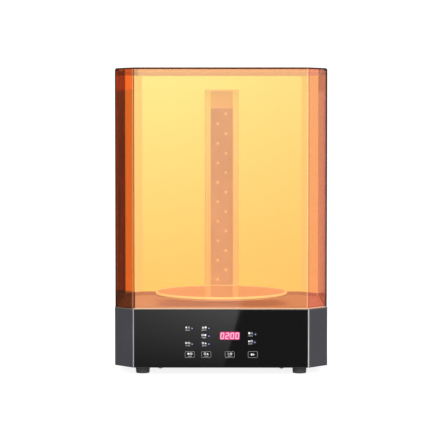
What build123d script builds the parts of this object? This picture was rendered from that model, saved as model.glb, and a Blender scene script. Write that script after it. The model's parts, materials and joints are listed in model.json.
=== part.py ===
from build123d import *
import os
from math import acos, cos, pi, radians, sin, sqrt, tan

# UV curing station: an octagonal base with a driven turntable and an LED column, under a lift-off hood.
# Millimetres, +Z up, the front towards -Y, the origin on the floor under the turntable's axis.

# Plan of the station
base_width = 290.0
base_depth = 226.0
corner_cut = 26.5
corner_round = 3.0
inner_round = 1.2

# Heights of the base
foot_height = 10.4
base_height = 79.5
deck_drop = 1.8
deck_thick = 2.5
lip_rise = 3.0
lip_wall = 2.0
lip_edge_round = 0.6
plinth_rise = 2.9
plinth_radius = 23.0

# Walls of the base
base_wall = 3.0
front_wall = 5.0
ledge_thick = 3.0
ledge_width = 9.0
plate_thick = 2.5
fit_gap = 0.3

# Hood
hood_height = 325.4
hood_wall = 3.0
hood_top = 3.5
hood_setback = 0.7
hood_edge_round = 3.0
hood_gap = 0.8

# Front panel, with the places of what shows through it
panel_thick = 2.0
panel_recess = 0.15
panel_side_margin = 1.5
panel_top_margin = 1.3
panel_bottom_margin = 0.6
panel_corner_round = 0.8
window_margin = 3.4
display_width = 30.0
display_height = 13.0
display_x = 11.3
display_z = 54.3
indicator_radius = 1.5
indicator_upper_row_z = 63.8
indicator_lower_row_z = 42.5
indicator_middle_row_z = 53.2
indicator_left_x = -39.0
indicator_centre_x = -16.2
indicator_right_x = 46.0
indicator_right_upper_z = 55.6
indicator_right_lower_z = 44.8
key_width = 13.2
key_height = 8.9
key_round = 1.5
key_z = 28.4
key_centres_x = (-42.1, -19.8, 11.8, 43.0)

# Control board behind the panel
board_thick = 1.6
board_standoff = 4.0
board_boss_radius = 3.0
board_boss_clearance = 1.5
board_boss_z = 22.0
board_edge = 4.5
touch_gap = 0.1
chip_size = 12.0
chip_thick = 1.6
chip_x = -8.0
header_width = 15.0
header_height = 6.0
header_depth = 9.0
header_wall = 0.8
header_x = 34.0
buzzer_radius = 6.0
buzzer_depth = 8.5
buzzer_port_radius = 1.2
buzzer_x = -36.0

# Turntable
disc_radius = 93.0
disc_height = 4.5
disc_skin = 2.0
disc_skirt = 2.0
disc_rim_rise = 0.7
disc_rim_width = 2.4
disc_top_z = 103.0
disc_rib_count = 6
disc_rib_width = 1.6
socket_wall = 3.0
socket_gap = 0.15
spigot_across_flats = 22.0
spigot_height = 2.3
hub_flange_radius = 20.0
hub_flange_thick = 2.5
hub_radius = 10.0
shaft_radius = 4.0
shaft_flat = 0.8
shaft_bottom_z = 65.0
shaft_top_rise = 0.5
shaft_seat_gap = 0.05
running_gap = 0.05

# Bearing under the deck
bush_wall = 1.5
bush_flange_thick = 1.5
bush_flange_radius = 7.5
upper_bush_length = 8.0
lower_bush_length = 4.0
bearing_flange_radius = 24.0
bearing_flange_thick = 3.0
bearing_spigot_radius = 14.0
bearing_barrel_radius = 9.5
bearing_bottom_z = 78.0
bearing_screw_count = 4
bearing_screw_ring_radius = 19.0
bearing_screw_bite = 4.0
thrust_gap = 0.3

# Gear pair
module = 1.5
pressure_angle = radians(20.0)
gear_teeth = 40
pinion_teeth = 14
backlash = 0.2
gear_thick = 7.0
gear_hub_radius = 9.0
gear_hub_rise = 2.0
gear_hole_count = 6
gear_hole_radius = 5.0
gear_hole_ring_radius = 18.5
pinion_thick = 10.0
circlip_thick = 1.0
circlip_outer_radius = 6.5
circlip_groove_depth = 0.5

# Motor and its bracket
motor_size = 35.2
motor_height = 28.0
motor_corner_cut = 4.0
motor_cap_height = 7.5
motor_core_step = 0.5
motor_pilot_radius = 11.0
motor_pilot_height = 2.0
motor_shaft_radius = 2.5
motor_shaft_length = 15.0
motor_shaft_depth = 8.0
motor_screw_spacing = 26.0
motor_screw_depth = 5.0
bracket_gauge = 1.6
bracket_width = 37.0
bracket_leg_inside = 32.4
bracket_flange = 13.0
bracket_bend = 2.5
bracket_boss_radius = 4.0
bracket_boss_drop = 6.0
bracket_screw_spacing = 22.0
gear_bracket_gap = 3.9

# Screws
m3_radius = 1.5
m3_head_radius = 2.8
m3_head_height = 1.9
m3_clearance = 0.2
m3_pilot_gap = 0.05
screw_end_gap = 1.0
m2_radius = 1.0
m2_head_radius = 1.9
m2_head_height = 1.3

# Feet
foot_radius = 10.0
foot_tip_radius = 9.2
foot_edge_round = 0.8
foot_x = 107.0
foot_y = 86.0
foot_boss_radius = 4.5
foot_boss_height = 8.0
foot_counterbore_depth = 6.0
foot_counterbore_gap = 1.0
foot_screw_length = 11.0

# Posts and bosses that the bottom plate is screwed to
post_x = 100.0
post_y = 66.0
post_top_radius = 5.2
post_tip_radius = 4.4
post_screw_length = 12.0
boss_radius = 4.4
boss_height = 14.0
boss_bite = 1.2
boss_x = 82.0

# Ventilation slots in the bottom plate
vent_length = 34.0
vent_width = 3.0
vent_pitch = 7.0
vent_count = 7
vent_x = 62.0
vent_y = -36.0

# LED column
column_width = 49.5
column_depth = 12.0
column_top_z = 391.5
column_wall = 1.6
column_slot = 32.6
column_edge_round = 1.2
column_clearance = 0.3
column_cap_thick = 2.4
cap_spigot_height = 6.0
window_thick = 2.0
window_overlap = 2.6
rail_depth = 2.6
rail_inset = 1.2
led_board_width = 38.0
led_board_bottom_z = 94.0
led_board_top_z = 364.0
board_rib_width = 3.0
board_rib_x = 13.0
slide_gap = 0.1
led_count = 19
led_pitch = 14.4
led_top_z = 355.8
led_offset_x = 6.0
led_size = 3.5
led_base_thick = 0.9
led_lens_radius = 1.3
foot_plate_thick = 3.0
foot_plate_width = 72.0
foot_spigot_height = 3.0
foot_screw_x = 30.5
spigot_inset = 1.0

# Rear connections, in a shallow pocket of the rear wall
pocket_x = -68.0
pocket_z = 46.0
pocket_width = 66.0
pocket_height = 30.0
pocket_depth = 5.0
pocket_wall = 3.0
pocket_round = 4.0
switch_x = -82.0
switch_width = 13.0
switch_height = 19.0
switch_depth = 13.0
switch_wall = 1.9
switch_well_depth = 7.6
bezel_border = 1.2
bezel_thick = 1.4
rocker_gap = 0.25
rocker_half_height = 6.2
rocker_depth = 5.4
rocker_pivot_depth = 3.0
rocker_valley = 0.9
rocker_taper = 1.0
rocker_on_angle = 7.0
rocker_pin_radius = 0.9
rocker_pin_length = 1.2
inlet_x = -54.0
inlet_radius = 5.5
inlet_flange_radius = 7.2
inlet_flange_thick = 1.8
inlet_length = 15.0
inlet_bore_radius = 3.2
inlet_bore_depth = 10.0
inlet_pin_radius = 1.05
inlet_pin_back = 1.5
inlet_nut_across_flats = 14.0
inlet_nut_thick = 2.4
inlet_tab_width = 2.2
inlet_tab_length = 5.0
inlet_tab_thick = 0.5

# Driver board on the bottom plate
driver_width = 92.0
driver_depth = 62.0
driver_x = -58.0
driver_y = 22.0
driver_standoff = 6.0
driver_standoff_radius = 3.0
driver_screw_inset = 4.5
capacitor_radius = 5.0
capacitor_height = 16.0
choke_radius = 9.0
choke_height = 8.0
choke_hole_radius = 4.0
sink_width = 26.0
sink_depth = 14.0
sink_height = 20.0
sink_fin_count = 6
sink_fin_thick = 1.2
sink_base = 3.0
plug_width = 12.0
plug_depth = 7.0
plug_height = 8.0
plug_edge = 1.0
plug_pitch = 20.0
plug_count = 4
capacitor_places = ((-32.0, 14.0), (-20.0, 14.0))
choke_place = (-4.0, 12.0)
sink_place = (25.0, 9.0)

# Heights and depths that follow from the sizes above
base_bottom = foot_height
seam = base_bottom + base_height
hood_top_z = seam + hood_height
deck_top = seam - deck_drop
deck_bottom = deck_top - deck_thick
ledge_bottom = deck_bottom - ledge_thick
lip_top = seam + lip_rise
plate_top = base_bottom + plate_thick
plinth_top = deck_top + plinth_rise
rim_wall = hood_setback + hood_wall + hood_gap - fit_gap
deck_inset = rim_wall + fit_gap
front_face = -base_depth / 2
rear_face = base_depth / 2
panel_back = front_face + panel_recess + panel_thick
front_inside = front_face + front_wall
window_half = max(abs(x) for x in key_centres_x) + key_width / 2 + window_margin
window_low_z = key_z - key_height / 2 - window_margin
window_high_z = indicator_upper_row_z + indicator_radius + window_margin
window_centre_z = (window_low_z + window_high_z) / 2
board_front = front_inside + board_standoff
board_back = board_front + board_thick
board_boss_x = window_half + board_boss_clearance + board_boss_radius
panel_half = base_width / 2 - corner_cut - panel_side_margin
panel_bottom = base_bottom + panel_bottom_margin
panel_top = seam - panel_top_margin
disc_bottom_z = disc_top_z - disc_height
bush_outer = shaft_radius + running_gap + bush_wall
hub_bottom_z = plinth_top + bush_flange_thick
shaft_top_z = disc_bottom_z + shaft_top_rise
gear_top_z = bearing_bottom_z - bush_flange_thick - thrust_gap - gear_hub_rise
gear_bottom_z = gear_top_z - gear_thick
centre_distance = module * (gear_teeth + pinion_teeth) / 2
bracket_top_z = gear_bottom_z - gear_bracket_gap
motor_top_z = bracket_top_z - bracket_gauge
motor_bottom_z = motor_top_z - motor_height
bracket_seat_z = deck_bottom - bracket_boss_drop
bracket_flange_y = bracket_leg_inside + bracket_gauge + bracket_flange / 2
column_back = rear_face - deck_inset - lip_wall - column_clearance
column_front = column_back - column_depth
window_front = column_front + column_wall
rail_front = window_front + window_thick + slide_gap
led_board_front = rail_front + rail_depth
led_board_back = led_board_front + board_thick
channel_bottom_z = deck_top + foot_plate_thick
channel_top_z = column_top_z - column_cap_thick
pocket_floor = rear_face - pocket_depth
driver_bottom_z = plate_top + driver_standoff
driver_top_z = driver_bottom_z + board_thick

nodes = {}


def keep(name, *pieces):
    """Files the solids of one sub-part under its name."""
    solids = [solid for piece in pieces for solid in piece.solids()]
    nodes[name] = Compound(children=solids) if len(solids) > 1 else solids[0]


def block(low, high):
    """A rectangular block between two corners."""
    size = [b - a for a, b in zip(low, high)]
    middle = [(a + b) / 2 for a, b in zip(low, high)]
    return Pos(*middle) * Box(*size)


def prism(plan, bottom, top):
    """An upright solid of a plan, between two heights."""
    return extrude(Pos(0, 0, bottom) * plan, top - bottom, dir=(0, 0, 1))


def disc(radius, bottom, top, x=0.0, y=0.0):
    """An upright cylinder between two heights."""
    return Pos(x, y, (bottom + top) / 2) * Cylinder(radius, top - bottom)


def rod(radius, front, back, x, z):
    """A cylinder along Y between two depths."""
    return Pos(x, (front + back) / 2, z) * Rot(90, 0, 0) * Cylinder(radius, back - front)


def turned(*profile):
    """A solid of revolution about the Z axis, from its radius and height points."""
    return revolve(Plane.XZ * make_face(Polyline(*profile, close=True)), Axis.Z)


def octagon(inset, rounding):
    """The station's plan moved inwards by an inset: a rectangle with 45 degree corner cuts."""
    half_x = base_width / 2 - inset
    half_y = base_depth / 2 - inset
    cut = corner_cut - inset * (2 - sqrt(2))
    corners = []
    for sign_x, sign_y in ((1, 1), (-1, 1), (-1, -1), (1, -1)):
        on_side = (sign_x * half_x, sign_y * (half_y - cut))
        on_end = (sign_x * (half_x - cut), sign_y * half_y)
        corners += [on_side, on_end] if sign_x * sign_y > 0 else [on_end, on_side]
    return fillet(Polygon(*corners).vertices(), rounding)


def screw(radius, length, head_radius, head_height):
    """A pan-head screw that points down from its seat at the origin."""
    head = Pos(0, 0, head_height / 2) * Cylinder(head_radius, head_height)
    head = chamfer(head.edges().sort_by(Axis.Z)[-1], head_height / 4)
    return head + Pos(0, 0, -length / 2) * Cylinder(radius, length)


def m3_screw(length):
    return screw(m3_radius, length, m3_head_radius, m3_head_height)


def m2_screw(length):
    return screw(m2_radius, length, m2_head_radius, m2_head_height)


def four(x, y):
    """The corners of a rectangle about the origin."""
    return [(sx * x, sy * y) for sx in (-1, 1) for sy in (-1, 1)]


# Housing of the base
def plate_boss_places():
    """Centres of the housing's bosses for the bottom plate, each sunk a little into its wall."""
    reach = boss_radius - boss_bite
    side_x = base_width / 2 - base_wall - reach
    rear_y = rear_face - base_wall - reach
    front_y = front_inside + reach
    return [(side * x, y) for side in (-1, 1) for x, y in ((side_x, 0), (boss_x, front_y), (boss_x, rear_y))]


def base_housing():
    cavity = prism(octagon(base_wall, inner_round), base_bottom, ledge_bottom)
    cavity -= block((-base_width, front_face, 0), (base_width, front_inside, seam))
    body = prism(octagon(0, corner_round), base_bottom, seam) - cavity
    body -= prism(octagon(base_wall + ledge_width, inner_round), ledge_bottom, deck_bottom)
    body -= prism(octagon(rim_wall, inner_round), deck_bottom, seam)
    body += rear_pocket_walls()
    for x, y in plate_boss_places():
        body += disc(boss_radius, plate_top, plate_top + boss_height, x, y)
        body -= disc(m3_radius + m3_pilot_gap, plate_top, plate_top + post_screw_length, x, y)
    body -= block(
        (-panel_half - fit_gap / 2, front_face, panel_bottom - fit_gap / 2),
        (panel_half + fit_gap / 2, panel_back, panel_top + fit_gap / 2),
    )
    body -= block((-window_half, front_face, window_low_z), (window_half, front_inside, window_high_z))
    for x, z in four(board_boss_x, board_boss_z):
        body += rod(board_boss_radius, front_inside, board_front, x, window_centre_z + z)
        body -= rod(m2_radius + m3_pilot_gap, front_inside, board_front, x, window_centre_z + z)
    return body - rear_pocket_cuts()


def rear_pocket_walls():
    """The housing's rear wall behind the pocket for the inlet and the switch."""
    half_w = pocket_width / 2 + pocket_wall
    half_h = pocket_height / 2 + pocket_wall
    return block(
        (pocket_x - half_w, pocket_floor - pocket_wall, pocket_z - half_h),
        (pocket_x + half_w, rear_face - base_wall / 2, pocket_z + half_h),
    )


def rear_pocket_cuts():
    outline = Plane.XZ * RectangleRounded(pocket_width, pocket_height, pocket_round)
    cuts = Pos(pocket_x, rear_face, pocket_z) * extrude(outline, pocket_depth)
    cuts += rod(inlet_radius + fit_gap / 2, pocket_floor - pocket_wall, rear_face, inlet_x, pocket_z)
    half_w = switch_width / 2 + fit_gap / 2
    half_h = switch_height / 2 + fit_gap / 2
    cuts += block(
        (switch_x - half_w, pocket_floor - pocket_wall, pocket_z - half_h),
        (switch_x + half_w, rear_face, pocket_z + half_h),
    )
    return cuts


# Deck with the lip that locates the hood, and the posts that clamp the housing to the bottom plate
def deck_plate():
    deck = prism(octagon(deck_inset, inner_round), deck_bottom, lip_top)
    deck -= prism(octagon(deck_inset + lip_wall, inner_round), deck_top, lip_top)
    deck = fillet(deck.edges().filter_by_position(Axis.Z, lip_top, lip_top), lip_edge_round)
    deck += disc(plinth_radius, deck_top, plinth_top)
    for x, y in four(post_x, post_y):
        height = deck_bottom - plate_top
        middle = plate_top + height / 2
        deck += Pos(x, y, middle) * Cone(post_tip_radius, post_top_radius, height)
        deck -= disc(m3_radius + m3_pilot_gap, plate_top, plate_top + post_screw_length, x, y)
    for x, y in bracket_screw_places():
        deck += disc(bracket_boss_radius, bracket_seat_z, deck_bottom, x, y)
        deck -= disc(m3_radius + m3_pilot_gap, bracket_seat_z, deck_bottom, x, y)
    deck -= disc(bearing_spigot_radius + fit_gap / 2, deck_bottom, plinth_top)
    for x, y in bearing_screw_places():
        deck -= disc(m3_radius + m3_pilot_gap, deck_bottom, deck_bottom + bearing_screw_bite, x, y)
    for x in (-foot_screw_x, foot_screw_x):
        deck -= disc(m3_radius + m3_pilot_gap, deck_bottom, deck_top, x, column_middle_y())
    deck -= disc(led_lead_hole_radius(), deck_bottom, deck_top, 0, column_middle_y())
    return deck


def column_middle_y():
    return (column_front + column_back) / 2


def led_lead_hole_radius():
    return column_depth / 2 - column_wall


# Bottom plate with its ventilation slots
def bottom_plate():
    plate = prism(octagon(base_wall + fit_gap, inner_round), base_bottom, plate_top)
    plate -= block((-base_width, front_face, 0), (base_width, front_inside + fit_gap, plate_top))
    for x, y in four(foot_x, foot_y):
        plate += disc(foot_boss_radius, plate_top, plate_top + foot_boss_height, x, y)
        plate -= disc(m3_radius + m3_pilot_gap, base_bottom, plate_top + foot_boss_height, x, y)
    for x, y in plate_screw_places():
        plate -= disc(m3_radius + m3_clearance, base_bottom, plate_top, x, y)
    for x, y in driver_screw_places():
        plate += driver_standoff_at(driver_x + x, driver_y + y)
    slot = prism(SlotOverall(vent_length, vent_width), base_bottom, plate_top)
    for side in (-1, 1):
        for index in range(vent_count):
            y = vent_y - (index - (vent_count - 1) / 2) * vent_pitch
            plate -= Pos(side * vent_x, y, 0) * slot
    return plate


def driver_standoff_at(x, y):
    post = disc(driver_standoff_radius, plate_top, driver_bottom_z, x, y)
    return post - disc(m2_radius + m3_pilot_gap, plate_top, driver_bottom_z, x, y)


def plate_screw_places():
    return four(post_x, post_y) + plate_boss_places()


# Rubber feet
def rubber_foot(x, y):
    profile = Polyline(
        (0, 0),
        (foot_tip_radius, 0),
        (foot_radius, foot_height),
        (0, foot_height),
        close=True,
    )
    foot = revolve(Plane.XZ * make_face(profile), Axis.Z)
    foot = fillet(foot.edges().sort_by(Axis.Z)[0], foot_edge_round)
    foot -= disc(m3_head_radius + foot_counterbore_gap, 0, foot_counterbore_depth)
    foot -= disc(m3_radius + m3_clearance, foot_counterbore_depth, foot_height)
    return Pos(x, y, 0) * foot


# Hood: walls and top in one moulding, open below
def uv_hood():
    body = prism(octagon(hood_setback, corner_round), seam, hood_top_z)
    body = fillet(body.edges().filter_by_position(Axis.Z, hood_top_z, hood_top_z), hood_edge_round)
    room = prism(octagon(hood_setback + hood_wall, inner_round), seam, hood_top_z - hood_top)
    return body - room


# Front panel
def front_panel():
    outline = RectangleRounded(2 * panel_half, panel_top - panel_bottom, panel_corner_round)
    panel = extrude(Plane.XZ * outline, -panel_thick)
    return Pos(0, panel_back - panel_thick, (panel_bottom + panel_top) / 2) * panel


# Control board with the display, the indicators and the touch pads
def control_board():
    half_w = board_boss_x + board_edge
    half_h = board_boss_z + board_edge
    board = block(
        (-half_w, board_front, window_centre_z - half_h),
        (half_w, board_back, window_centre_z + half_h),
    )
    for x, z in four(board_boss_x, board_boss_z):
        board -= rod(m2_radius + m3_clearance, board_front, board_back, x, window_centre_z + z)
    return board


def control_board_parts():
    """Controller chip, plug header and buzzer on the back of the control board."""
    chip = Pos(chip_x, chip_thick / 2, 0) * Box(chip_size, chip_thick, chip_size)
    chip = chamfer(chip.faces().sort_by(Axis.Y)[-1].edges(), chip_thick / 4)
    shell = Pos(header_x, header_depth / 2, 0) * Box(header_width, header_depth, header_height)
    cavity = offset(shell.faces().sort_by(Axis.Y)[-1], -header_wall)
    header = shell - extrude(cavity, -header_depth / 2)
    buzzer = rod(buzzer_radius, 0, buzzer_depth, buzzer_x, 0)
    buzzer -= rod(buzzer_port_radius, buzzer_depth / 2, buzzer_depth, buzzer_x, 0)
    return [Pos(0, board_back, window_centre_z) * part for part in (chip, header, buzzer)]


def display_module():
    half_w = display_width / 2
    half_h = display_height / 2
    return block(
        (display_x - half_w, panel_back + touch_gap, display_z - half_h),
        (display_x + half_w, board_front, display_z + half_h),
    )


def indicator_places():
    left = [(indicator_left_x, z) for z in (indicator_upper_row_z, indicator_lower_row_z)]
    rows = (indicator_upper_row_z, indicator_middle_row_z, indicator_lower_row_z)
    centre = [(indicator_centre_x, z) for z in rows]
    right = [(indicator_right_x, z) for z in (indicator_right_upper_z, indicator_right_lower_z)]
    return left + centre + right


def indicator(x, z):
    dome_depth = panel_back + touch_gap + indicator_radius
    body = rod(indicator_radius, dome_depth, board_front, x, z)
    return body + Pos(x, dome_depth, z) * Sphere(indicator_radius)


def touch_pad(x):
    pad_front = panel_back + touch_gap
    outline = Plane.XZ * RectangleRounded(key_width, key_height, key_round)
    return Pos(x, pad_front, key_z) * extrude(outline, pad_front - board_front)


# Turntable
def turntable_disc():
    rim_top = disc_top_z + disc_rim_rise
    skin_bottom = disc_top_z - disc_skin
    plate = turned(
        (0, skin_bottom),
        (disc_radius - disc_skirt, skin_bottom),
        (disc_radius - disc_skirt, disc_bottom_z),
        (disc_radius, disc_bottom_z),
        (disc_radius, rim_top - disc_rim_rise / 2),
        (disc_radius - disc_rim_rise / 2, rim_top),
        (disc_radius - disc_rim_width, rim_top),
        (disc_radius - disc_rim_width - disc_rim_rise, disc_top_z),
        (0, disc_top_z),
    )
    socket_outer = spigot_circle_radius() + socket_wall
    plate += disc(socket_outer, disc_bottom_z, skin_bottom)
    rib = block(
        (socket_outer - socket_wall / 2, -disc_rib_width / 2, disc_bottom_z),
        (disc_radius - disc_skirt / 2, disc_rib_width / 2, skin_bottom),
    )
    for index in range(disc_rib_count):
        plate += Rot(0, 0, 360 * index / disc_rib_count) * rib
    socket = RegularPolygon(spigot_across_flats / 2 + socket_gap, 6, major_radius=False)
    return plate - prism(socket, disc_bottom_z, skin_bottom)


def spigot_circle_radius():
    """Radius through the corners of the hub's hexagonal spigot."""
    return spigot_across_flats / 2 / cos(pi / 6)


def d_profile(radius, flat):
    """A round section with one flat."""
    return Circle(radius) - Pos(2 * radius - flat, 0) * Rectangle(2 * radius, 2 * radius)


def turntable_hub():
    flange_bottom = disc_bottom_z - hub_flange_thick
    hub = disc(hub_radius, hub_bottom_z, flange_bottom)
    hub += disc(hub_flange_radius, flange_bottom, disc_bottom_z)
    spigot = RegularPolygon(spigot_across_flats / 2, 6, major_radius=False)
    hub += prism(spigot, disc_bottom_z, disc_bottom_z + spigot_height)
    bore = d_profile(shaft_radius + shaft_seat_gap, shaft_flat)
    return hub - prism(bore, hub_bottom_z, shaft_top_z + shaft_seat_gap)


def turntable_shaft():
    shaft = disc(shaft_radius, shaft_bottom_z, shaft_top_z)
    shaft = chamfer(shaft.edges().filter_by(GeomType.CIRCLE).sort_by(Axis.Z)[0], circlip_groove_depth)
    flat_x = shaft_radius - shaft_flat
    for low, high in ((hub_bottom_z, shaft_top_z), (gear_bottom_z, gear_top_z + gear_hub_rise)):
        shaft -= block((flat_x, -shaft_radius, low), (2 * shaft_radius, shaft_radius, high))
    groove = disc(2 * shaft_radius, gear_bottom_z - circlip_thick - slide_gap, gear_bottom_z)
    return shaft - (groove - disc(shaft_radius - circlip_groove_depth, shaft_bottom_z, gear_bottom_z))


def shaft_circlip():
    """An E-clip in the shaft's groove, under the gear."""
    inner = shaft_radius - circlip_groove_depth + shaft_seat_gap
    plan = Circle(circlip_outer_radius) - Circle(inner)
    plan -= Pos(circlip_outer_radius, 0) * Rectangle(2 * circlip_outer_radius, 2 * inner)
    return prism(plan, gear_bottom_z - circlip_thick, gear_bottom_z)


# Bearing of the turntable
def bearing_screw_places():
    ring = PolarLocations(bearing_screw_ring_radius, bearing_screw_count, start_angle=45)
    return [(place.position.X, place.position.Y) for place in ring]


def bearing_housing():
    body = disc(bearing_flange_radius, deck_bottom - bearing_flange_thick, deck_bottom)
    body += disc(bearing_spigot_radius, deck_bottom, plinth_top)
    body += disc(bearing_barrel_radius, bearing_bottom_z, deck_bottom - bearing_flange_thick)
    body -= disc(bush_outer + slide_gap / 2, bearing_bottom_z, plinth_top)
    for x, y in bearing_screw_places():
        body -= disc(m3_radius + m3_clearance, deck_bottom - bearing_flange_thick, deck_bottom, x, y)
    return body


def shaft_bush(seat, direction, length):
    """A flanged bush that points away from its seat, into the housing."""
    bore = shaft_radius + running_gap
    return turned(
        (bore, seat + direction * length),
        (bush_outer, seat + direction * length),
        (bush_outer, seat),
        (bush_flange_radius, seat),
        (bush_flange_radius, seat - direction * bush_flange_thick),
        (bore, seat - direction * bush_flange_thick),
    )


# Spur gears with involute flanks
def involute(angle):
    return tan(angle) - angle


def gear_outline(teeth):
    """The outline of a spur gear, with a tooth centred on the X axis."""
    pitch = module * teeth / 2
    base = pitch * cos(pressure_angle)
    tip = pitch + module
    root = pitch - 1.25 * module
    start = max(base, root)
    half_at_pitch = pi / (2 * teeth) - backlash / (4 * pitch)

    def half_angle(radius):
        return half_at_pitch + involute(pressure_angle) - involute(acos(min(1.0, base / radius)))

    def point(radius, angle):
        return (radius * cos(angle), radius * sin(angle))

    edges = []
    for index in range(teeth):
        middle = 2 * pi * index / teeth
        turn = 2 * pi / teeth
        flank = [(radius, half_angle(radius)) for radius in (start, (start + tip) / 2, tip)]
        right = [point(radius, middle - half) for radius, half in flank]
        left = [point(radius, middle + half) for radius, half in reversed(flank)]
        root_right = point(root, middle - flank[0][1])
        root_left = point(root, middle + flank[0][1])
        next_root = point(root, middle + turn - flank[0][1])
        if root < start:
            edges += [Line(root_right, right[0]), Line(left[2], root_left)]
        edges += [ThreePointArc(*right), ThreePointArc(*left)]
        edges.append(ThreePointArc(right[2], point(tip, middle), left[0]))
        edges.append(ThreePointArc(root_left, point(root, middle + turn / 2), next_root))
    return make_face(edges)


def turntable_gear():
    plan = gear_outline(gear_teeth)
    for place in PolarLocations(gear_hole_ring_radius, gear_hole_count):
        plan -= place * Circle(gear_hole_radius)
    gear = prism(plan, gear_bottom_z, gear_top_z)
    gear += disc(gear_hub_radius, gear_top_z, gear_top_z + gear_hub_rise)
    bore = d_profile(shaft_radius + shaft_seat_gap, shaft_flat)
    return gear - prism(bore, gear_bottom_z, gear_top_z + gear_hub_rise)


def drive_pinion():
    """The motor's pinion, turned so that a tooth space faces the gear's tooth."""
    bottom = gear_bottom_z - (pinion_thick - gear_thick) / 2
    facing = 180 if pinion_teeth % 2 else 180 + 180 / pinion_teeth
    pinion = Rot(0, 0, facing) * prism(gear_outline(pinion_teeth), bottom, bottom + pinion_thick)
    pinion -= prism(Circle(motor_shaft_radius + shaft_seat_gap), bottom, bottom + pinion_thick)
    return Pos(centre_distance, 0, 0) * pinion


# Motor
def motor_plan(size):
    cut = motor_corner_cut
    return chamfer(Rectangle(size, size).vertices(), cut)


def drive_motor():
    core = motor_size - 2 * motor_core_step
    body = prism(motor_plan(motor_size), motor_bottom_z, motor_bottom_z + motor_cap_height)
    body += prism(motor_plan(core), motor_bottom_z + motor_cap_height, motor_top_z - motor_cap_height)
    body += prism(motor_plan(motor_size), motor_top_z - motor_cap_height, motor_top_z)
    body += disc(motor_pilot_radius, motor_top_z, motor_top_z + motor_pilot_height)
    bore = motor_shaft_radius + running_gap
    body -= disc(bore, motor_top_z - motor_shaft_depth, motor_top_z + motor_pilot_height)
    for x, y in four(motor_screw_spacing / 2, motor_screw_spacing / 2):
        body -= disc(m3_radius + m3_pilot_gap, motor_top_z - motor_screw_depth, motor_top_z, x, y)
    return Pos(centre_distance, 0, 0) * body


def motor_shaft():
    bottom = motor_top_z - motor_shaft_depth + thrust_gap
    return disc(motor_shaft_radius, bottom, motor_top_z + motor_shaft_length, centre_distance, 0)


def bracket_screw_places():
    xs = [centre_distance + side * bracket_screw_spacing / 2 for side in (-1, 1)]
    return [(x, side * bracket_flange_y) for x in xs for side in (-1, 1)]


def motor_bracket():
    """A folded sheet bracket: a tray for the motor, two legs, and flanges under the deck."""
    tray = bracket_top_z - bracket_gauge / 2
    flange = bracket_seat_z - bracket_gauge / 2
    leg = bracket_leg_inside + bracket_gauge / 2
    end = bracket_flange_y + bracket_flange / 2
    fold = FilletPolyline(
        (-end, flange), (-leg, flange), (-leg, tray), (leg, tray), (leg, flange), (end, flange),
        radius=bracket_bend,
    )
    section = Plane.YZ * trace(fold, bracket_gauge)
    sheet = extrude(section, bracket_width / 2, both=True)
    sheet = Pos(centre_distance, 0, 0) * sheet
    sheet -= disc(motor_pilot_radius + fit_gap / 2, motor_top_z, bracket_top_z, centre_distance, 0)
    for x, y in four(motor_screw_spacing / 2, motor_screw_spacing / 2):
        sheet -= disc(m3_radius + m3_clearance, motor_top_z, bracket_top_z, centre_distance + x, y)
    for x, y in bracket_screw_places():
        sheet -= disc(m3_radius + m3_clearance, bracket_seat_z - bracket_gauge, bracket_seat_z, x, y)
    return sheet


# LED column
def column_outline():
    outline = Pos(0, column_middle_y()) * Rectangle(column_width, column_depth)
    return fillet(outline.vertices(), column_edge_round)


def channel_plan():
    """Section of the column: a slotted channel with rails for the window and ribs for the board."""
    side = column_width / 2 - column_wall
    inner_depth = column_depth - column_wall - column_wall
    plan = column_outline() - Pos(0, column_middle_y()) * Rectangle(2 * side, inner_depth)
    plan -= Pos(0, column_front) * Rectangle(column_slot, 2 * column_wall)
    rail_inner = column_slot / 2 + rail_inset
    for sign in (-1, 1):
        rail = Rectangle(side - rail_inner + column_wall / 2, rail_depth)
        x = sign * (side + column_wall / 2 + rail_inner) / 2
        plan += Pos(x, rail_front + rail_depth / 2) * rail
        rib_depth = column_back - column_wall - led_board_back + column_wall / 2
        rib = Rectangle(board_rib_width, rib_depth)
        plan += Pos(sign * board_rib_x, led_board_back + slide_gap + rib_depth / 2) * rib
    return plan


def column_channel():
    return prism(channel_plan(), channel_bottom_z, channel_top_z)


def column_window():
    half = column_slot / 2 + window_overlap
    return block(
        (-half, window_front, channel_bottom_z),
        (half, window_front + window_thick, channel_top_z),
    )


def column_cap():
    """The column's end cap, cut back in front so that the slot shows below the two flanges' ends."""
    cap = prism(column_outline(), channel_top_z, column_top_z)
    cap = fillet(cap.edges().filter_by_position(Axis.Z, column_top_z, column_top_z), lip_edge_round)
    half = column_slot / 2
    notch_back = window_front + slide_gap
    cap -= block((-half, column_front, channel_top_z), (half, notch_back, column_top_z))
    spigot_half = column_slot / 2 - spigot_inset
    cap += block(
        (-spigot_half, rail_front, channel_top_z - cap_spigot_height),
        (spigot_half, led_board_front, channel_top_z),
    )
    return cap


def column_foot():
    """The foot that carries the column: a flange on the deck and a spigot between the rails."""
    half = foot_plate_width / 2
    foot = block((-half, column_front, deck_top), (half, column_back, channel_bottom_z))
    foot = fillet(foot.edges().filter_by(Axis.Z), column_edge_round)
    spigot_half = column_slot / 2 - spigot_inset
    foot += block(
        (-spigot_half, rail_front, channel_bottom_z),
        (spigot_half, led_board_front, channel_bottom_z + foot_spigot_height),
    )
    for x in (-foot_screw_x, foot_screw_x):
        foot -= disc(m3_radius + m3_clearance, deck_top, channel_bottom_z, x, column_middle_y())
    lead_hole = led_lead_hole_radius()
    return foot - disc(lead_hole, deck_top, channel_bottom_z + foot_spigot_height, 0, column_middle_y())


def led_board():
    half = led_board_width / 2
    return block((-half, led_board_front, led_board_bottom_z), (half, led_board_back, led_board_top_z))


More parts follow.
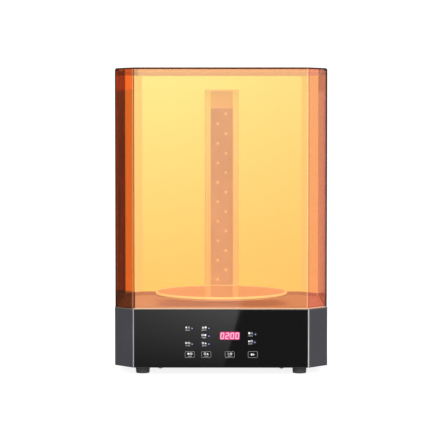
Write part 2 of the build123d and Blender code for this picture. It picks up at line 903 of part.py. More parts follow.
def uv_led(index):
    """One LED of the staggered double row, counted from the top."""
    side = 1 if index % 2 == 0 else -1
    body = Box(led_size, led_base_thick, led_size)
    lens = Pos(0, -led_base_thick / 2, 0) * Sphere(led_lens_radius)
    lens -= Pos(0, led_lens_radius, 0) * Box(led_size, 2 * led_lens_radius, led_size)
    y = led_board_front - led_base_thick / 2
    return Pos(side * led_offset_x, y, led_top_z - index * led_pitch) * (body + lens)


# Rear connections
def rocker_frame():
    """Snap-in frame of the power switch, with a well for its rocker."""
    half_w = switch_width / 2
    half_h = switch_height / 2
    bezel = block(
        (-half_w - bezel_border, pocket_floor, -half_h - bezel_border),
        (half_w + bezel_border, pocket_floor + bezel_thick, half_h + bezel_border),
    )
    bezel = chamfer(bezel.faces().sort_by(Axis.Y)[-1].edges(), bezel_thick / 2)
    body = bezel + block((-half_w, pocket_floor - switch_depth, -half_h), (half_w, pocket_floor, half_h))
    well_half_w = half_w - switch_wall
    well_half_h = rocker_half_height + 2 * rocker_gap + rocker_depth * sin(radians(rocker_on_angle))
    body -= block(
        (-well_half_w, pocket_floor + bezel_thick - switch_well_depth, -well_half_h),
        (well_half_w, pocket_floor + bezel_thick, well_half_h),
    )
    bore_length = 2 * (well_half_w + rocker_pin_length + fit_gap)
    pin_bore = Rot(0, 90, 0) * Cylinder(rocker_pin_radius + running_gap, bore_length)
    body -= Pos(0, rocker_pivot_y(), 0) * pin_bore
    return Pos(switch_x, 0, pocket_z) * body


def rocker_pivot_y():
    return pocket_floor + bezel_thick - rocker_pivot_depth


def power_rocker():
    """The rocker with its two pivot pins, pressed to its on side."""
    half_w = switch_width / 2 - switch_wall - rocker_gap
    top = pocket_floor + bezel_thick + rocker_valley
    section = Polygon(
        (top - rocker_depth, -rocker_half_height + rocker_taper),
        (top, -rocker_half_height),
        (top - rocker_valley, 0),
        (top, rocker_half_height),
        (top - rocker_depth, rocker_half_height - rocker_taper),
    )
    body = extrude(Plane.YZ * section, half_w, both=True)
    pin = Rot(0, 90, 0) * Cylinder(rocker_pin_radius, 2 * (half_w + rocker_gap + rocker_pin_length))
    body += Pos(0, rocker_pivot_y(), 0) * pin
    tilt = Pos(0, rocker_pivot_y(), 0) * Rot(rocker_on_angle, 0, 0) * Pos(0, -rocker_pivot_y(), 0)
    return Pos(switch_x, 0, pocket_z) * (tilt * body)


def dc_inlet():
    face = pocket_floor + inlet_flange_thick
    body = rod(inlet_flange_radius, pocket_floor, face, 0, 0)
    body = chamfer(body.edges().sort_by(Axis.Y)[-1], inlet_flange_thick / 3)
    body += rod(inlet_radius, face - inlet_length, pocket_floor, 0, 0)
    body -= rod(inlet_bore_radius, face - inlet_bore_depth, face, 0, 0)
    for x in (-inlet_bore_radius, inlet_bore_radius):
        body += block(
            (x - inlet_tab_width / 2, face - inlet_length - inlet_tab_length, -inlet_tab_thick / 2),
            (x + inlet_tab_width / 2, face - inlet_length, inlet_tab_thick / 2),
        )
    return Pos(inlet_x, 0, pocket_z) * body


def dc_inlet_pin():
    face = pocket_floor + inlet_flange_thick
    return rod(inlet_pin_radius, face - inlet_bore_depth, face - inlet_pin_back, inlet_x, pocket_z)


def dc_inlet_nut():
    inside = pocket_floor - pocket_wall
    plan = RegularPolygon(inlet_nut_across_flats / 2, 6, major_radius=False)
    plan -= Circle(inlet_radius + shaft_seat_gap)
    return Pos(inlet_x, inside, pocket_z) * extrude(Plane.XZ * plan, inlet_nut_thick)


# Driver board
def driver_board():
    board = block(
        (-driver_width / 2, -driver_depth / 2, driver_bottom_z),
        (driver_width / 2, driver_depth / 2, driver_top_z),
    )
    for x, y in driver_screw_places():
        board -= disc(m2_radius + m3_clearance, driver_bottom_z, driver_top_z, x, y)
    return Pos(driver_x, driver_y, 0) * board


def driver_screw_places():
    return four(driver_width / 2 - driver_screw_inset, driver_depth / 2 - driver_screw_inset)


def driver_parts():
    """Capacitors, choke, heat sink and plugs, all standing on the driver board."""
    capacitors = [disc(capacitor_radius, 0, capacitor_height, x, y) for x, y in capacitor_places]
    choke = disc(choke_radius, 0, choke_height) - disc(choke_hole_radius, 0, choke_height)
    plug_y = plug_edge + plug_depth / 2 - driver_depth / 2
    plugs = [
        Pos((index - (plug_count - 1) / 2) * plug_pitch, plug_y, plug_height / 2)
        * Box(plug_width, plug_depth, plug_height)
        for index in range(plug_count)
    ]
    parts = [*capacitors, Pos(*choke_place) * choke, Pos(*sink_place) * heat_sink(), *plugs]
    return [Pos(driver_x, driver_y, driver_top_z) * part for part in parts]


def heat_sink():
    """A finned sink, its fins towards the rear."""
    sink = Pos(0, 0, sink_height / 2) * Box(sink_width, sink_depth, sink_height)
    pitch = (sink_width - sink_fin_thick) / (sink_fin_count - 1)
    gap = Box(pitch - sink_fin_thick, sink_depth - sink_base, sink_height)
    for index in range(sink_fin_count - 1):
        x = (index - (sink_fin_count - 2) / 2) * pitch
        sink -= Pos(x, sink_base / 2, sink_height / 2) * gap
    return sink


# Assembly
keep("uv_hood", uv_hood())
keep("base_housing", base_housing())
keep("deck_plate", deck_plate())
keep("bottom_plate", bottom_plate())
keep("front_panel", front_panel())
keep("rubber_feet", *[rubber_foot(x, y) for x, y in four(foot_x, foot_y)])
keep("foot_screws", *[
    Pos(x, y, foot_counterbore_depth) * Rot(180, 0, 0) * m3_screw(foot_screw_length)
    for x, y in four(foot_x, foot_y)
])
keep("bottom_plate_screws", *[
    Pos(x, y, base_bottom) * Rot(180, 0, 0) * m3_screw(post_screw_length)
    for x, y in plate_screw_places()
])
keep("control_board", control_board())
keep("control_board_parts", *control_board_parts())
keep("control_board_screws", *[
    Pos(x, board_back, window_centre_z + z) * Rot(-90, 0, 0)
    * m2_screw(board_thick + board_standoff - screw_end_gap)
    for x, z in four(board_boss_x, board_boss_z)
])
keep("display_module", display_module())
keep("indicator_leds", *[indicator(x, z) for x, z in indicator_places()])
keep("touch_pads", *[touch_pad(x) for x in key_centres_x])
keep("turntable_disc", turntable_disc())
keep("turntable_hub", turntable_hub())
keep("turntable_shaft", turntable_shaft())
keep("turntable_gear", turntable_gear())
keep("shaft_circlip", shaft_circlip())
keep("bearing_housing", bearing_housing())
keep("bearing_screws", *[
    Pos(x, y, deck_bottom - bearing_flange_thick) * Rot(180, 0, 0)
    * m3_screw(bearing_flange_thick + bearing_screw_bite - screw_end_gap)
    for x, y in bearing_screw_places()
])
keep("shaft_bush_upper", shaft_bush(plinth_top, -1, upper_bush_length))
keep("shaft_bush_lower", shaft_bush(bearing_bottom_z, 1, lower_bush_length))
keep("drive_motor", drive_motor())
keep("motor_shaft", motor_shaft())
keep("drive_pinion", drive_pinion())
keep("motor_bracket", motor_bracket())
keep("motor_screws", *[
    Pos(centre_distance + x, y, bracket_top_z) * m3_screw(bracket_gauge + motor_screw_depth - screw_end_gap)
    for x, y in four(motor_screw_spacing / 2, motor_screw_spacing / 2)
])
keep("bracket_screws", *[
    Pos(x, y, bracket_seat_z - bracket_gauge) * Rot(180, 0, 0)
    * m3_screw(bracket_gauge + bracket_boss_drop - screw_end_gap)
    for x, y in bracket_screw_places()
])
keep("column_channel", column_channel())
keep("column_window", column_window())
keep("column_cap", column_cap())
keep("column_foot", column_foot())
keep("column_screws", *[
    Pos(x, column_middle_y(), channel_bottom_z) * m3_screw(foot_plate_thick + deck_thick)
    for x in (-foot_screw_x, foot_screw_x)
])
keep("led_board", led_board())
keep("uv_leds", *[uv_led(index) for index in range(led_count)])
keep("rocker_frame", rocker_frame())
keep("power_rocker", power_rocker())
keep("dc_inlet", dc_inlet())
keep("dc_inlet_pin", dc_inlet_pin())
keep("dc_inlet_nut", dc_inlet_nut())
keep("driver_board", driver_board())
keep("driver_parts", *driver_parts())
keep("driver_screws", *[
    Pos(driver_x + x, driver_y + y, driver_top_z) * m2_screw(board_thick + driver_standoff - screw_end_gap)
    for x, y in driver_screw_places()
])

os.makedirs("parts", exist_ok=True)
for name, shape in nodes.items():
    export_step(shape, f"parts/{name}.step")
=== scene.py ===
import json
import math
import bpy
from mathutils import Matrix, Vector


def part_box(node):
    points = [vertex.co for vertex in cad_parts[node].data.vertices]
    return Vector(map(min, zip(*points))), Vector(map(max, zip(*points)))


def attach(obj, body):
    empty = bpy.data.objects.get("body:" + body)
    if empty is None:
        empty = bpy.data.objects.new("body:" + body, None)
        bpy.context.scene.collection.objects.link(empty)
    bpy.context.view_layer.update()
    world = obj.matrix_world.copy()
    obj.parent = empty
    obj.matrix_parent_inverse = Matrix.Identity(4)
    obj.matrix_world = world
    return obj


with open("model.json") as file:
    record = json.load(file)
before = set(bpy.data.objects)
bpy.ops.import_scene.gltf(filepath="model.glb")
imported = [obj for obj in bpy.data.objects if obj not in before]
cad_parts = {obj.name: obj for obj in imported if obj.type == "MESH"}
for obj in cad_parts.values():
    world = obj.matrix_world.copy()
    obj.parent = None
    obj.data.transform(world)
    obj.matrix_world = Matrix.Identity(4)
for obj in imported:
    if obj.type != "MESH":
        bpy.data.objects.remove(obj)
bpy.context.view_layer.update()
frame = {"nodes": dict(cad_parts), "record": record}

from types import SimpleNamespace

import bmesh
import bpy
from mathutils import Vector

NODES = frame["nodes"]
MM = 0.001

# Camera, at the photograph's viewing angle
PICTURE = 440
FOCAL_PIXELS = 1624.0
SENSOR = 36.0
CAMERA_PLACE = (0.012, -2.296, 0.320)
HORIZON_ROW = 138.3
AXIS_COLUMN = 221.4
CAMERA_SHIFT_Y = -0.05


def make_camera():
    """A long lens above the hood's middle; a small shift and a small tilt share the framing."""
    data = bpy.data.cameras.new("camera")
    data.lens = FOCAL_PIXELS / PICTURE * SENSOR
    data.sensor_width = SENSOR
    data.shift_y = CAMERA_SHIFT_Y
    rise = (PICTURE / 2 - HORIZON_ROW) + CAMERA_SHIFT_Y * PICTURE
    tilt = math.atan(rise / FOCAL_PIXELS)
    column = AXIS_COLUMN - FOCAL_PIXELS * CAMERA_PLACE[0] / CAMERA_PLACE[1]
    pan = math.atan((column - PICTURE / 2) / FOCAL_PIXELS)
    camera = bpy.data.objects.new("camera", data)
    camera.location = CAMERA_PLACE
    camera.rotation_euler = (math.pi / 2 - tilt, 0, pan)
    bpy.context.scene.collection.objects.link(camera)
    bpy.context.scene.camera = camera


make_camera()


# Short ways to build node trees
NOISE_REACH = (0.3, 0.7)
GRAIN_SCALE = 2600.0
GRAIN_DEPTH = 0.03 * MM
BEHIND_HOOD = 2
BEHIND_HOOD_AND_WINDOW = 3


class Shader:
    """A material's or the world's node tree."""

    def __init__(self, name, tree=None):
        if tree is None:
            self.material = bpy.data.materials.new(name)
            self.material.use_nodes = True
            tree = self.material.node_tree
            self.surface = tree.nodes["Principled BSDF"]
            self.output = tree.nodes["Material Output"]
        self.tree = tree

    def put(self, node, key, value):
        """Sets an input by its name or its place, or links a socket to it."""
        socket = node.inputs[int(key) if key.isdigit() else key]
        if isinstance(value, bpy.types.NodeSocket):
            self.tree.links.new(value, socket)
        elif isinstance(value, tuple) and len(value) == 3 and len(socket.default_value) == 4:
            socket.default_value = (*value, 1.0)
        else:
            socket.default_value = value

    def node(self, kind, settings=None, **inputs):
        made = self.tree.nodes.new(kind)
        for key, value in (settings or {}).items():
            setattr(made, key, value)
        for key, value in inputs.items():
            self.put(made, key.replace("_", " "), value)
        return made

    def set(self, **inputs):
        for key, value in inputs.items():
            self.put(self.surface, key.replace("_", " "), value)

    def math(self, operation, *values):
        made = self.node("ShaderNodeMath", {"operation": operation})
        for place, value in enumerate(values):
            self.put(made, str(place), value)
        return made.outputs[0]

    def product(self, *values):
        total = values[0]
        for value in values[1:]:
            total = self.math("MULTIPLY", total, value)
        return total

    def inverse(self, value):
        return self.math("SUBTRACT", 1.0, value)

    def absolute(self, value):
        return self.math("ABSOLUTE", value)

    def split(self, vector):
        return self.node("ShaderNodeSeparateXYZ", Vector=vector).outputs

    def place(self):
        """Object coordinates, in metres."""
        return self.node("ShaderNodeTexCoord").outputs["Object"]

    def normal(self):
        """The surface's normal in the object's own axes."""
        world = self.node("ShaderNodeNewGeometry").outputs["Normal"]
        turn = {"vector_type": "NORMAL", "convert_from": "WORLD", "convert_to": "OBJECT"}
        return self.node("ShaderNodeVectorTransform", turn, Vector=world).outputs[0]

    def noise(self, scale, detail, roughness=0.5, stretch=None):
        vector = self.place()
        if stretch:
            vector = self.node("ShaderNodeMapping", Vector=vector, Scale=stretch).outputs[0]
        inputs = {"Vector": vector, "Scale": scale, "Detail": detail, "Roughness": roughness}
        return self.node("ShaderNodeTexNoise", **inputs).outputs["Fac"]

    def levels(self, noise, low=0.0, high=1.0):
        """Noise brought from its usual reach to two levels."""
        return self.ramp(noise, *NOISE_REACH, low, high)

    def ramp(self, value, from_low, from_high, low=0.0, high=1.0):
        """A value mapped from one range to another, and held at its ends."""
        made = self.node("ShaderNodeMapRange", Value=value)
        limits = {"From Min": from_low, "From Max": from_high, "To Min": low, "To Max": high}
        for key, number in limits.items():
            self.put(made, key, number)
        return made.outputs[0]

    def band(self, value, low, high, soft):
        """One between two limits and zero outside them."""
        up = self.ramp(value, low - soft, low + soft)
        down = self.ramp(value, high - soft, high + soft, 1.0, 0.0)
        return self.product(up, down)

    def blend(self, factor, first, second):
        made = self.node("ShaderNodeMix", {"data_type": "RGBA"})
        for place, value in (("0", factor), ("6", first), ("7", second)):
            self.put(made, place, value)
        return made.outputs[2]

    def mix(self, factor, first, second):
        made = self.node("ShaderNodeMixShader", Fac=factor)
        self.put(made, "1", first.outputs[0])
        self.put(made, "2", second.outputs[0])
        return made

    def finish(self, shader):
        self.put(self.output, "Surface", shader.outputs[0])
        return self.material

    def bump(self, height, distance, strength, normal=None):
        made = self.node("ShaderNodeBump", Height=height, Distance=distance, Strength=strength)
        if normal is not None:
            self.put(made, "Normal", normal)
        return made.outputs[0]

    def lift(self, color, surfaces=BEHIND_HOOD):
        """A painted glow for the closed hood's scattered amber light: it shows behind at least so many
        clear surfaces.
        """
        crossed = self.node("ShaderNodeLightPath").outputs["Transparent Depth"]
        closed = self.ramp(crossed, surfaces - 0.6, surfaces - 0.4)
        self.set(Emission_Color=color, Emission_Strength=closed)

    def soft_edges(self, radius):
        return self.node("ShaderNodeBevel", {"samples": 4}, Radius=radius).outputs[0]

    def grain(self, radius):
        """The spark-eroded grain of a mould over softened edges."""
        return self.bump(self.noise(GRAIN_SCALE, 2.0), GRAIN_DEPTH, 0.6, self.soft_edges(radius))


# Hood: what one face of the acrylic lets through, to the eye and as light
FACE_TOP = (0.9995, 0.965, 0.725)
FACE_BOTTOM = (0.9995, 0.878, 0.601)
FACE_WARMER = (0.99, 0.80, 0.55)
FACE_WARMER_SHARE = 0.16
FACE_WARMER_REACH = (-0.07, 0.10)
LIGHT_TINT = (0.998, 0.76, 0.71)
# Painted shade and light on the front cut corners: the left ones are tinted darker, darkest at the
# foot, and the right ones lighter
CORNER_LEFT_TOP = (0.97, 0.372, 0.165)
CORNER_LEFT = (0.82, 0.352, 0.150)
CORNER_LEFT_FOOT = (0.30, 0.18, 0.08)
CORNER_RIGHT = (0.99, 0.74, 0.74)
CORNER_REAR = (0.995, 0.88, 0.71)
SIDE_TINT = (0.963, 0.86, 0.62)
# Painted shade in bands along the front corners: darker on the left and at the foot, lighter on the
# right
CORNER_SHADE_LEFT = (0.50, 0.20, 0.09)
CORNER_SHADE_FOOT = (0.30, 0.12, 0.06)
CORNER_SHADE_RIGHT = (0.86, 0.63, 0.55)
# Painted shade in the outer edges
PAINTED_EDGE_SHADE = (0.055, 0.022, 0.007)
# Tints of the faint haze and of the painted highlight lines at the corners and foot, and the painted
# glow they get
HAZE_AND_HIGHLIGHT = (1.0, 0.60, 0.40)
FOOT_HIGHLIGHT_TINT = (1.0, 0.85, 0.62)
PAINTED_GLOW_STRENGTH = 0.5
HAZE_SHARE = 0.012

# Hood: where a normal has turned to a cut corner, to a side and to a level face
CORNER_TURN = (0.50, 0.62)
SIDE_TURN = (0.90, 0.97)
TOP_TURN = (0.90, 0.97)
LEVEL_TURN = (0.93, 0.985)

# Hood: heights, and the lines along its edges as a start and an end, the painted shade and highlight
# bands at the front corners with a softness
LIGHT_LINE_HEIGHT = 386.0 * MM
DARK_FOOT_HEIGHT = 113.0 * MM
HOOD_CORNER_CUT = 26.1 * MM
HOOD_WALL = 3.0 * MM
LEAST_COSINE = 0.07
LEFT_SHADE_BAND = (-1.4 * MM, 0.0 * MM, 0.25 * MM)
LEFT_SHADE_BAND_FOOT = (-2.1 * MM, -0.2 * MM, 0.25 * MM)
RIGHT_SHADE_BAND = (-0.9 * MM, 1.3 * MM, 0.3 * MM)
# Painted highlight lines along the front corners and the foot
LEFT_LINE = (0.8 * MM, 2.1 * MM, 0.2 * MM)
LEFT_LINE_SHARE = 0.06
LEFT_LINE_FOOT_SHARE = 0.14
RIGHT_LINE = (-2.2 * MM, -1.2 * MM, 0.2 * MM)
RIGHT_LINE_SHARE = 0.22
FOOT_LINE = (1.5 * MM, 1.2 * MM)
FOOT_LINE_SHARE = 0.25
OUTER_EDGE = (2.2 * MM, 1.9 * MM)
TOP_EDGE = (2.5 * MM, 2.2 * MM)
EDGE_DULLING = 0.95
TOP_DULLING = 0.75


def fresnel(made, facing):
    """The share of light that a polished plastic face reflects, by Schlick's rule."""
    return made.math("MULTIPLY_ADD", made.math("POWER", facing, 5.0), 0.96, 0.04)


def hood_zones(made, low, high):
    """Where a point is on the hood; each mask is one inside its zone and zero outside it."""
    x, y, z = made.split(made.place())
    nx, ny, nz = made.split(made.normal())
    width = made.absolute(x)
    slant = made.math("MINIMUM", made.absolute(nx), made.absolute(ny))
    outer_plane = high.x + high.y - HOOD_CORNER_CUT
    reach = made.math("ADD", width, made.absolute(y))
    outer = made.ramp(reach, outer_plane - 0.6 * HOOD_WALL, outer_plane - 0.4 * HOOD_WALL)
    front = made.ramp(y, -0.01, 0.01, 1.0, 0.0)
    right = made.ramp(x, -0.02, 0.02)
    return SimpleNamespace(
        x=x,
        z=z,
        width=width,
        slant=slant,
        corner=made.ramp(slant, *CORNER_TURN),
        side=made.ramp(made.absolute(nx), *SIDE_TURN),
        top=made.ramp(nz, *TOP_TURN),
        level=made.ramp(made.absolute(nz), *LEVEL_TURN),
        outer=outer,
        front=front,
        right=right,
        left=made.inverse(right),
        seen_front=made.product(made.math("MAXIMUM", outer, made.absolute(ny)), front),
        foot=made.ramp(z, DARK_FOOT_HEIGHT - 2 * MM, DARK_FOOT_HEIGHT + 2 * MM, 1.0, 0.0),
    )


def hood_tint(made, zone, low, high):
    """The colour that one face lets through to the eye, square on, with painted shade on the left cut
    corners, darkest at the foot, and a lighter painted tint on the right ones.
    """
    flat = made.blend(made.ramp(zone.z, low.z, high.z), FACE_BOTTOM, FACE_TOP)
    warmer = made.ramp(zone.x, *FACE_WARMER_REACH, 0.0, FACE_WARMER_SHARE)
    flat = made.blend(warmer, flat, FACE_WARMER)
    above = made.ramp(zone.z, LIGHT_LINE_HEIGHT - MM, LIGHT_LINE_HEIGHT + MM)
    left = made.blend(zone.foot, made.blend(above, CORNER_LEFT, CORNER_LEFT_TOP), CORNER_LEFT_FOOT)
    front = made.blend(zone.right, left, CORNER_RIGHT)
    tint = made.blend(made.product(zone.corner, made.inverse(zone.front)), flat, CORNER_REAR)
    tint = made.blend(made.product(zone.corner, zone.outer, zone.front), tint, front)
    return made.blend(zone.side, tint, SIDE_TINT)


def deepen(made, tint, facing):
    """A tint raised to the length of the light's way through the sheet."""
    path = made.math("DIVIDE", 1.0, made.math("MAXIMUM", made.inverse(facing), LEAST_COSINE))
    channels = made.node("ShaderNodeSeparateColor", Color=tint).outputs
    deeper = made.node("ShaderNodeCombineColor")
    for place in range(3):
        made.put(deeper, str(place), made.math("POWER", channels[place], path))
    return deeper.outputs[0]


def hood_edges(made, zone, high):
    """The painted shade on the polished edges: the outer ones of the cut corners, and the round one at
    the top.
    """
    outer = made.ramp(zone.width, high.x - OUTER_EDGE[0], high.x - OUTER_EDGE[1])
    outer = made.product(outer, made.ramp(zone.slant, 0.05, 0.15))
    top = made.ramp(zone.z, high.z - TOP_EDGE[0], high.z - TOP_EDGE[1])
    return made.math("MAXIMUM", outer, made.product(top, made.inverse(zone.level)))


def hood_joints(made, zone, joint, through):
    """The painted shade in bands along the two front corners, darker on the left and at the foot, laid
    over what the face lets through.
    """
    left_foot = made.product(made.band(joint, *LEFT_SHADE_BAND_FOOT), zone.foot)
    left = made.product(made.math("MAXIMUM", made.band(joint, *LEFT_SHADE_BAND), left_foot), zone.left)
    right = made.product(made.band(joint, *RIGHT_SHADE_BAND), zone.right)
    shaded_corners = made.product(made.math("MAXIMUM", left, right), zone.seen_front)
    tint = made.blend(zone.right, made.blend(zone.foot, CORNER_SHADE_LEFT, CORNER_SHADE_FOOT), CORNER_SHADE_RIGHT)
    return made.blend(shaded_corners, through, tint)


def hood_haze(made, zone, joint, low, clear):
    """The clear sheet with painted highlights at its corners and along its foot, and a faint haze all
    over; haze and highlights glow a little as painted light.
    """
    left_share = made.ramp(zone.foot, 0.0, 1.0, LEFT_LINE_SHARE, LEFT_LINE_FOOT_SHARE)
    left = made.product(made.band(joint, *LEFT_LINE), zone.left, zone.front, left_share)
    right = made.product(made.band(joint, *RIGHT_LINE), zone.right, RIGHT_LINE_SHARE)
    lines = made.product(made.math("ADD", left, right), zone.seen_front)
    foot = made.ramp(zone.z, low.z + FOOT_LINE[0], low.z + FOOT_LINE[1], 0.0, FOOT_LINE_SHARE)
    rim = made.product(foot, made.inverse(made.product(zone.corner, zone.left)))
    tint = made.blend(made.ramp(rim, 0.0, 0.2), HAZE_AND_HIGHLIGHT, FOOT_HIGHLIGHT_TINT)
    haze_and_glow = made.node("ShaderNodeAddShader")
    made.put(haze_and_glow, "0", made.node("ShaderNodeBsdfDiffuse", Color=tint).outputs[0])
    made.put(haze_and_glow, "1", made.node("ShaderNodeEmission", Color=tint, Strength=PAINTED_GLOW_STRENGTH).outputs[0])
    share = made.math("MAXIMUM", made.math("MAXIMUM", lines, rim), HAZE_SHARE)
    return made.mix(share, clear, haze_and_glow)


def amber_acrylic():
    """Clear amber acrylic, deeper seen edge on; painted shade darkens its outer edges and its left
    front corners, and painted highlights light its corners and foot.
    """
    low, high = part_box("uv_hood")
    made = Shader("amber_acrylic")
    zone = hood_zones(made, low, high)
    joint = made.math("SUBTRACT", zone.width, high.x - HOOD_CORNER_CUT)
    facing = made.node("ShaderNodeLayerWeight", Blend=0.5).outputs["Facing"]
    seen = made.node("ShaderNodeLightPath").outputs["Is Camera Ray"]
    through = made.blend(seen, LIGHT_TINT, deepen(made, hood_tint(made, zone, low, high), facing))
    corner_shaded = hood_joints(made, zone, joint, through)
    dark = hood_edges(made, zone, high)
    clear = made.node("ShaderNodeBsdfTransparent", Color=made.blend(dark, corner_shaded, PAINTED_EDGE_SHADE))
    haze_and_highlights = hood_haze(made, zone, joint, low, clear)
    smudged = made.levels(made.noise(9.0, 5.0), 0.03, 0.07)
    polish = made.node("ShaderNodeBsdfAnisotropic", Roughness=smudged)
    dulled = made.math("MAXIMUM", made.product(dark, EDGE_DULLING), made.product(zone.top, TOP_DULLING))
    mirror = made.product(fresnel(made, facing), made.inverse(dulled))
    return made.finish(made.mix(mirror, haze_and_highlights, polish))


# Other materials
RIM_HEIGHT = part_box("uv_hood")[0].z
HOUSING_TONE = (0.053, 0.053, 0.063)
HOUSING_LIGHT = (0.060, 0.060, 0.068)
# Painted highlights on the housing's front corners, brighter on the right, and on its top rim
CORNER_HIGHLIGHT_LEFT = (0.308, 0.308, 0.325)
CORNER_HIGHLIGHT_RIGHT = (0.50, 0.493, 0.493)
RIM_HIGHLIGHT = (0.40, 0.283, 0.183)
RIM_HIGHLIGHT_SHARE = 0.35
HIGHLIGHT_TURN = (0.12, 0.60, 0.05)
HIGHLIGHT_DEPTH = (4.0 * MM, 3.0 * MM)
RIM_HIGHLIGHT_DEPTH = (1.2 * MM, 0.7 * MM)
PANEL_TONE = (0.0075, 0.0075, 0.008)
DISC_TONE = (0.80, 0.76, 0.70)
# Painted highlight on the turntable's rim and painted shade on its side below the rim; the two lift
# colours after them are a painted glow
DISC_RIM_HIGHLIGHT = (0.90, 0.92, 0.85)
DISC_SIDE_SHADE = (0.70, 0.667, 0.60)
DISC_LIFT = (0.09, 0.015, 0.0)
DISC_RIM_LIFT = (0.50, 0.32, 0.19)
DISC_RIM_WIDTH = (2.9 * MM, 2.5 * MM)
DISC_RIM_DEPTH = (2.7 * MM, 2.4 * MM)
RINGS_PER_METRE = 9000.0
RING_DEPTH = 0.0004 * MM
SILVER = (0.80, 0.80, 0.75)
SILVER_DARK = (0.75, 0.75, 0.70)
SLOT_EDGE = (16.0 * MM, 16.4 * MM)
FLANGE_HEIGHTS = (100.0 * MM, 370.0 * MM)
# Painted glow for the closed hood's scattered amber light on the parts seen through it, stronger in the
# column's slot and up its flanges
FLANGE_LIFT_TOP = (0.24, 0.285, 0.085)
FLANGE_LIFT_FOOT = (0.20, 0.11, 0.02)
COLUMN_LIFT = (0.28, 0.19, 0.08)
SLOT_LIFT = (0.41, 0.22, 0.155)
SLOT_SIDE_LIFT = (0.28, 0.14, 0.12)
DECK_LIFT = (0.40, 0.15, 0.133)
CAP_LIFT = (0.35, 0.22, 0.13)
BOARD_LIFT = (0.25, 0.10, 0.12)
LED_LIFT = (0.42, 0.25, 0.20)
WINDOW_TINT = (0.97, 0.98, 0.98)


def clear_acrylic():
    """The column's window: clear, with faint wiping marks."""
    made = Shader("clear_acrylic")
    facing = made.node("ShaderNodeLayerWeight", Blend=0.5).outputs["Facing"]
    clear = made.node("ShaderNodeBsdfTransparent", Color=WINDOW_TINT)
    smudged = made.levels(made.noise(30.0, 4.0), 0.05, 0.12)
    polish = made.node("ShaderNodeBsdfAnisotropic", Roughness=smudged)
    return made.finish(made.mix(fresnel(made, facing), clear, polish))


def moulded(name, color, roughness, spread=0.08, lift=None, surfaces=BEHIND_HOOD):
    """Moulded plastic: a fine spark-eroded grain, slightly uneven colour and rounded edges."""
    made = Shader(name)
    darker = tuple(c * (1 - spread) for c in color)
    lighter = tuple(min(1.0, c * (1 + spread)) for c in color)
    made.set(Base_Color=made.blend(made.levels(made.noise(14.0, 5.0)), darker, lighter))
    made.set(Roughness=made.levels(made.noise(60.0, 3.0), roughness - 0.05, roughness + 0.05))
    made.set(Normal=made.grain(0.3 * MM))
    if lift:
        made.lift(lift, surfaces)
    return made.material


def behind_window(name, color, roughness, lift):
    """A moulded piece in the column's slot, which is seen through its window too."""
    return moulded(name, color, roughness, lift=lift, surfaces=BEHIND_HOOD_AND_WINDOW)


def glossy_panel():
    """Black acrylic sheet with a polished face and a trace of dust and wiping marks."""
    made = Shader("glossy_panel")
    made.set(Base_Color=PANEL_TONE)
    wiped = made.noise(22.0, 6.0, 0.6, (1.0, 1.0, 0.3))
    made.set(Roughness=made.levels(wiped, 0.02, 0.05))
    made.set(Normal=made.soft_edges(0.4 * MM))
    return made.material


def housing():
    """Dark moulded plastic with painted highlights: a lighter line along its front corners, brighter on
    the right, and an amber one along its top rim.
    """
    made = Shader("housing_grey")
    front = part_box("base_housing")[0].y
    x, y, z = made.split(made.place())
    nx, _, nz = made.split(made.normal())
    rounded = made.band(made.absolute(nx), *HIGHLIGHT_TURN)
    upright = made.ramp(made.absolute(nz), 0.2, 0.4, 1.0, 0.0)
    near = made.ramp(y, front + HIGHLIGHT_DEPTH[0], front + HIGHLIGHT_DEPTH[1])
    corner = made.product(rounded, upright, near)
    heights = [RIM_HEIGHT - depth for depth in RIM_HIGHLIGHT_DEPTH]
    rim = made.ramp(z, *heights, 0.0, RIM_HIGHLIGHT_SHARE)
    uneven = made.levels(made.noise(40.0, 4.0), 0.8, 1.0)
    highlighted = made.product(made.math("MAXIMUM", corner, rim), uneven)
    grey = made.blend(made.levels(made.noise(14.0, 5.0)), HOUSING_TONE, HOUSING_LIGHT)
    line = made.blend(made.ramp(x, -0.1, 0.1), CORNER_HIGHLIGHT_LEFT, CORNER_HIGHLIGHT_RIGHT)
    line = made.blend(made.ramp(rim, 0.0, 0.3), line, RIM_HIGHLIGHT)
    made.set(Base_Color=made.blend(highlighted, grey, line), Specular_IOR_Level=0.3)
    made.set(Roughness=made.levels(made.noise(60.0, 3.0), 0.40, 0.48))
    made.set(Normal=made.grain(0.3 * MM))
    return made.material


def turntable_silver():
    """Bright glossy turntable: fine turned rings on top, a painted highlight and a painted glow on its
    rim, and painted shade on its side below the rim.
    """
    made = Shader("turntable_silver")
    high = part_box("turntable_disc")[1]
    x, y, z = made.split(made.place())
    radius = made.math("SQRT", made.math("ADD", made.product(x, x), made.product(y, y)))
    rim = made.ramp(radius, high.x - DISC_RIM_WIDTH[0], high.x - DISC_RIM_WIDTH[1])
    below = made.ramp(z, high.z - DISC_RIM_DEPTH[0], high.z - DISC_RIM_DEPTH[1], 1.0, 0.0)
    rings = made.math("SINE", made.product(radius, RINGS_PER_METRE))
    made.set(Base_Color=made.blend(below, made.blend(rim, DISC_TONE, DISC_RIM_HIGHLIGHT), DISC_SIDE_SHADE))
    made.set(Roughness=made.ramp(rings, -1.0, 1.0, 0.05, 0.08))
    made.set(Normal=made.bump(rings, RING_DEPTH, 0.3, made.soft_edges(0.3 * MM)))
    made.lift(made.blend(below, made.blend(rim, DISC_LIFT, DISC_RIM_LIFT), (0.0, 0.0, 0.0)))
    return made.material


